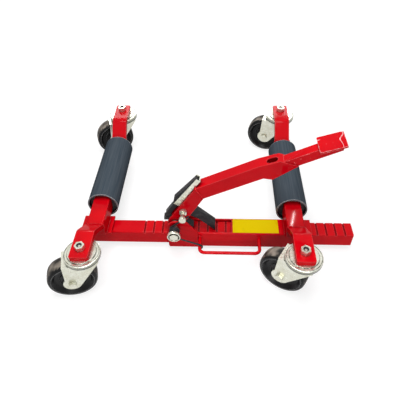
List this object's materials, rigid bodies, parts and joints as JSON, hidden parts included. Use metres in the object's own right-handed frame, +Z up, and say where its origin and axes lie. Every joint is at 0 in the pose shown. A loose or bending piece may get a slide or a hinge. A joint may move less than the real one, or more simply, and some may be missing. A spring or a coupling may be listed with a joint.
{
  "type": "vehicle positioning jack",
  "caption": "Wheel dolly with two roller arms on swivel casters, drawn together under a tyre by a foot-pumped ratchet bar, with a release bar on the pedal.",
  "frame": {"origin": "on the floor, under the centre of the tyre that the two rollers hold", "axes": "+Z up, +X along the ratchet bar towards the foot pad, +Y away from the pedal"},
  "size_m": [0.7061, 0.6057, 0.3295],
  "materials": {
    "red_paint": "gloss",
    "zinc": "satin",
    "bright_steel": "polished",
    "black_steel": "satin",
    "roller_plastic": "matte",
    "wheel_black": "satin",
    "nylon": "matte",
    "yellow_paint": "gloss"
  },
  "bodies": {
    "sleeve_frame": {"sleeve_tube": "red_paint", "yellow_plate": "yellow_paint", "right_arm": "red_paint", "right_arm_caps": "red_paint", "right_roller_bushes": "nylon", "front_right_bracket": "red_paint", "rear_right_bracket": "red_paint", "front_right_caster_race": "zinc", "rear_right_caster_race": "zinc", "front_right_caster_king_bolt": "zinc", "rear_right_caster_king_bolt": "zinc", "front_cheek": "red_paint", "rear_cheek": "red_paint", "pivot_bolt": "zinc", "pivot_nut_and_washer": "zinc", "pivot_spacers": "zinc", "return_spring": "black_steel", "carry_handle": "red_paint"},
    "slide_frame": {"ratchet_bar": "red_paint", "saddle_plate": "red_paint", "left_arm": "red_paint", "left_arm_caps": "red_paint", "left_roller_bushes": "nylon", "front_left_bracket": "red_paint", "rear_left_bracket": "red_paint", "front_left_caster_race": "zinc", "rear_left_caster_race": "zinc", "front_left_caster_king_bolt": "zinc", "rear_left_caster_king_bolt": "zinc"},
    "left_roller": {"left_roller": "roller_plastic"},
    "right_roller": {"right_roller": "roller_plastic"},
    "pedal": {"pedal_leg": "red_paint", "pedal_arm": "red_paint", "pedal_extension": "red_paint", "foot_pad": "red_paint", "pawl_bolt": "zinc", "release_channel": "zinc", "release_pin": "zinc"},
    "drive_pawl": {"drive_pawl": "black_steel"},
    "holding_pawl": {"holding_pawl": "black_steel"},
    "release_bar": {"release_bar": "black_steel"},
    "front_left_swivel": {"front_left_caster_fork": "zinc", "front_left_caster_balls": "bright_steel", "front_left_caster_axle": "zinc"},
    "front_left_wheel": {"front_left_caster_wheel": "wheel_black"},
    "front_right_swivel": {"front_right_caster_fork": "zinc", "front_right_caster_balls": "bright_steel", "front_right_caster_axle": "zinc"},
    "front_right_wheel": {"front_right_caster_wheel": "wheel_black"},
    "rear_left_swivel": {"rear_left_caster_fork": "zinc", "rear_left_caster_balls": "bright_steel", "rear_left_caster_axle": "zinc"},
    "rear_left_wheel": {"rear_left_caster_wheel": "wheel_black"},
    "rear_right_swivel": {"rear_right_caster_fork": "zinc", "rear_right_caster_balls": "bright_steel", "rear_right_caster_axle": "zinc"},
    "rear_right_wheel": {"rear_right_caster_wheel": "wheel_black"}
  },
  "joints": [
    {"name": "bar_slide", "type": "slide", "parent": "sleeve_frame", "child": "slide_frame", "axis": [1, 0, 0], "range_m": [-0.088, 0.11]},
    {"name": "left_roller_spin", "type": "hinge", "parent": "slide_frame", "child": "left_roller", "pos_m": [-0.235, 0, 0.083], "axis": [0, 1, 0], "continuous": true},
    {"name": "right_roller_spin", "type": "hinge", "parent": "sleeve_frame", "child": "right_roller", "pos_m": [0.235, 0, 0.083], "axis": [0, 1, 0], "continuous": true},
    {"name": "pedal_press", "type": "hinge", "parent": "sleeve_frame", "child": "pedal", "pos_m": [-0.047, -0.152, 0.088], "axis": [0, 1, 0], "range_deg": [0, 28], "stiffness_Nm_per_rad": 8, "springref_deg": -45.84, "deforming": ["return_spring"]},
    {"name": "drive_pawl_swing", "type": "hinge", "parent": "pedal", "child": "drive_pawl", "pos_m": [-0.02634, -0.152, 0.12823], "axis": [0, 1, 0], "range_deg": [-38.8, 0.5]},
    {"name": "release_press", "type": "slide", "parent": "pedal", "child": "release_bar", "axis": [-0.5432, 0, -0.8396], "range_m": [0, 0.008], "stiffness_N_per_m": 1000, "springref_m": -0.005},
    {"name": "holding_pawl_swing", "type": "hinge", "parent": "sleeve_frame", "child": "holding_pawl", "pos_m": [-0.047, -0.152, 0.088], "axis": [0, 1, 0], "range_deg": [-20.5, 0.5]},
    {"name": "front_left_swivel_turn", "type": "hinge", "parent": "slide_frame", "child": "front_left_swivel", "pos_m": [-0.235, -0.289, 0.115], "axis": [0, 0, 1], "continuous": true},
    {"name": "front_left_wheel_roll", "type": "hinge", "parent": "front_left_swivel", "child": "front_left_wheel", "pos_m": [-0.26977, -0.29832, 0.055], "axis": [0.2588, -0.9659, 0], "continuous": true},
    {"name": "front_right_swivel_turn", "type": "hinge", "parent": "sleeve_frame", "child": "front_right_swivel", "pos_m": [0.235, -0.289, 0.115], "axis": [0, 0, 1], "continuous": true},
    {"name": "front_right_wheel_roll", "type": "hinge", "parent": "front_right_swivel", "child": "front_right_wheel", "pos_m": [0.20414, -0.27046, 0.055], "axis": [-0.515, -0.8572, 0], "continuous": true},
    {"name": "rear_left_swivel_turn", "type": "hinge", "parent": "slide_frame", "child": "rear_left_swivel", "pos_m": [-0.235, 0.232, 0.115], "axis": [0, 0, 1], "continuous": true},
    {"name": "rear_left_wheel_roll", "type": "hinge", "parent": "rear_left_swivel", "child": "rear_left_wheel", "pos_m": [-0.26904, 0.22028, 0.055], "axis": [0.3256, -0.9455, 0], "continuous": true},
    {"name": "rear_right_swivel_turn", "type": "hinge", "parent": "sleeve_frame", "child": "rear_right_swivel", "pos_m": [0.235, 0.232, 0.115], "axis": [0, 0, 1], "continuous": true},
    {"name": "rear_right_wheel_roll", "type": "hinge", "parent": "rear_right_swivel", "child": "rear_right_wheel", "pos_m": [0.20076, 0.24313, 0.055], "axis": [-0.309, -0.9511, 0], "continuous": true}
  ],
  "couplings": [
    {"joint": "drive_pawl_swing", "follows": "pedal_press", "ratio": -1.3668},
    {"joint": "holding_pawl_swing", "follows": "release_press", "rad_per_m": -43.633}
  ]
}
